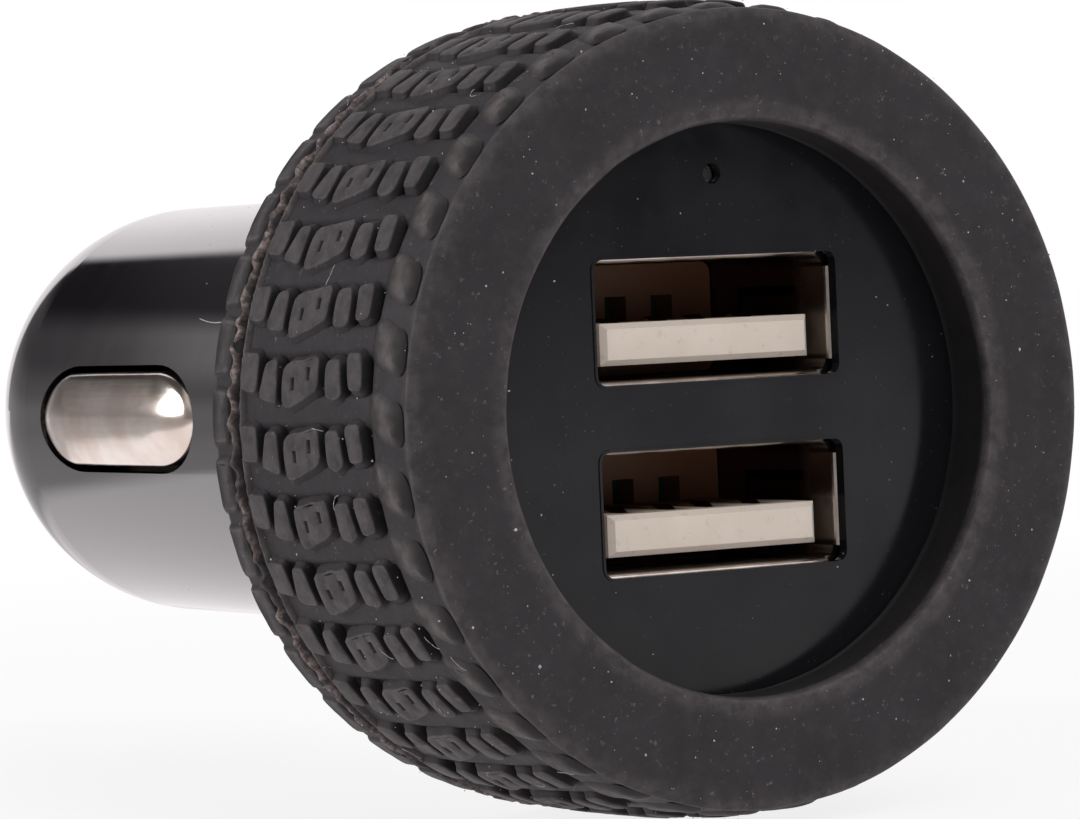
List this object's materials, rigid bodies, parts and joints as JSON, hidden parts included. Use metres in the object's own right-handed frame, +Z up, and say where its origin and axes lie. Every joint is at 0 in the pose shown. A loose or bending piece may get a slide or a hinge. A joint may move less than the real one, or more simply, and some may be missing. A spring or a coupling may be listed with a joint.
{
  "type": "car usb charger plug",
  "caption": "Charger plug for a car's lighter socket, with a round nose, sprung contacts and USB ports in a head dressed as a tyre.",
  "frame": {"origin": "on the plug's axis at the head's rear face, where the mouth of the car's socket comes to rest", "axes": "+Y along the plug towards its nose and tip pin, +Z up with one USB port above the other, X through the two side contacts"},
  "size_m": [0.0364, 0.0633, 0.0364],
  "materials": {
    "tyre_rubber": "matt moulded rubber",
    "black_housing": "semi-gloss moulded plastic",
    "black_plate": "polished plastic",
    "black_barrel": "polished plastic",
    "shell_steel": "bright nickel plated sheet",
    "cream_insulator": "satin moulded plastic",
    "gilt_contact": "gilt strip",
    "green_board": "solder mask",
    "led_body": "cast resin",
    "clear_guide": "clear moulding",
    "capacitor_sleeve": "shrunk sleeve",
    "ferrite": "ground ferrite",
    "copper_wire": "enamelled copper",
    "chip_black": "moulded epoxy",
    "chip_ceramic": "ceramic",
    "nickel": "bright nickel plate",
    "spring_brass": "rolled strip",
    "spring_steel": "drawn wire"
  },
  "bodies": {
    "head": {"tyre": "tyre_rubber", "head_housing": "black_housing", "face_plate": "black_plate", "barrel": "black_barrel", "upper_usb_shell": "shell_steel", "lower_usb_shell": "shell_steel", "upper_usb_tongue": "cream_insulator", "lower_usb_tongue": "cream_insulator", "upper_usb_contacts": "gilt_contact", "lower_usb_contacts": "gilt_contact", "port_board": "green_board", "status_led": "led_body", "light_guide": "clear_guide", "power_board": "green_board", "input_capacitor": "capacitor_sleeve", "output_capacitor": "capacitor_sleeve", "inductor_core": "ferrite", "inductor_winding": "copper_wire", "converter_chip": "chip_black", "rectifier_diode": "chip_black", "charge_chip": "chip_black", "chip_resistors": "chip_ceramic", "left_leaf_spring": "spring_brass", "right_leaf_spring": "spring_brass", "tip_spring": "spring_steel", "tip_terminal": "spring_brass"},
    "left_contact": {"left_contact": "nickel"},
    "right_contact": {"right_contact": "nickel"},
    "tip_pin": {"tip_pin": "nickel"}
  },
  "joints": [
    {"name": "left_contact_press", "type": "slide", "parent": "head", "child": "left_contact", "axis": [1, 0, 0], "range_m": [0, 0.0008], "stiffness_N_per_m": 2500, "springref_m": -0.0004, "deforming": ["left_leaf_spring"]},
    {"name": "right_contact_press", "type": "slide", "parent": "head", "child": "right_contact", "axis": [-1, 0, 0], "range_m": [0, 0.0008], "stiffness_N_per_m": 2500, "springref_m": -0.0004, "deforming": ["right_leaf_spring"]},
    {"name": "tip_pin_press", "type": "slide", "parent": "head", "child": "tip_pin", "axis": [0, -1, 0], "range_m": [0, 0.0025], "stiffness_N_per_m": 2000, "springref_m": -0.001, "deforming": ["tip_spring"]}
  ]
}
